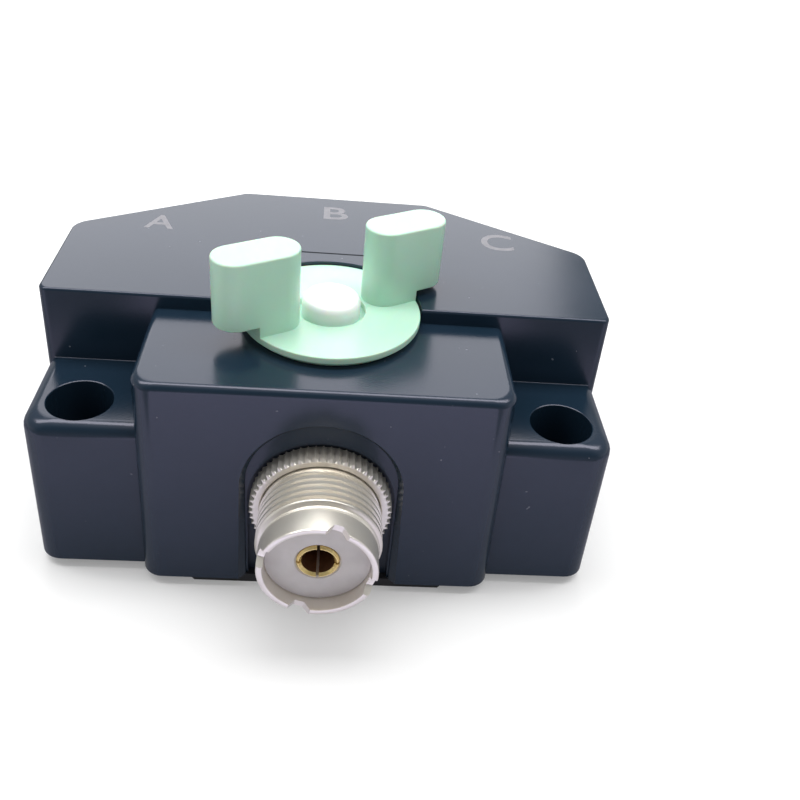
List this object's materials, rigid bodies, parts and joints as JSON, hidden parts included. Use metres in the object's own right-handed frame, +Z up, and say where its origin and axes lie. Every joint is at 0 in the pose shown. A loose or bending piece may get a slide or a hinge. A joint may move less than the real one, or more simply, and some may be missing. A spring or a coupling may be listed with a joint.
{
  "type": "coaxial antenna switch",
  "caption": "Manual coaxial antenna switch: a two-lug knob turns between positions A, B and C and joins the front UHF socket to one of the rear UHF sockets.",
  "frame": {"origin": "on the underside of the base plate, on the axis of the knob's spindle", "axes": "+Z up along the spindle, +Y towards rear socket B, the common socket points along -Y, +X to the right as seen from the front"},
  "size_m": [0.087, 0.0839, 0.0457],
  "materials": {
    "housing_black": "semi-gloss moulded",
    "plate_black": "satin painted",
    "cast_dark": "dark painted casting",
    "nickel": "bright nickel plate",
    "insulator_grey": "smooth moulded",
    "gold": "gold plate",
    "knob_green": "smooth moulded",
    "cap_green": "smooth moulded",
    "steel": "zinc plated",
    "brass": "rolled",
    "spring_steel": "bright drawn",
    "wafer_brown": "phenolic board",
    "rotor_ivory": "moulded"
  },
  "bodies": {
    "housing": {"housing_cover": "housing_black", "base_plate": "plate_black", "cover_screws": "steel", "chassis_screws": "steel", "inner_chassis": "cast_dark", "common_socket_shell": "nickel", "a_socket_shell": "nickel", "b_socket_shell": "nickel", "c_socket_shell": "nickel", "common_lock_ring": "nickel", "a_lock_ring": "nickel", "b_lock_ring": "nickel", "c_lock_ring": "nickel", "common_insulator": "insulator_grey", "a_insulator": "insulator_grey", "b_insulator": "insulator_grey", "c_insulator": "insulator_grey", "common_centre_contact": "gold", "a_centre_contact": "gold", "b_centre_contact": "gold", "c_centre_contact": "gold", "stator_wafer": "wafer_brown", "wafer_screws": "steel", "common_contact_strip": "brass", "a_contact_strip": "brass", "b_contact_strip": "brass", "c_contact_strip": "brass", "spindle_bushing": "brass"},
    "selector_knob": {"knob": "knob_green", "knob_screw": "steel", "knob_cap": "cap_green", "spindle": "steel", "thrust_washer": "steel", "retaining_ring": "spring_steel", "rotor": "rotor_ivory", "wiper_blade": "brass", "detent_balls": "steel", "detent_springs": "spring_steel"}
  },
  "joints": [
    {"name": "selector", "type": "hinge", "parent": "housing", "child": "selector_knob", "pos_m": [0, 0, 0.0333], "axis": [0, 0, 1], "range_deg": [-60, 0]}
  ]
}
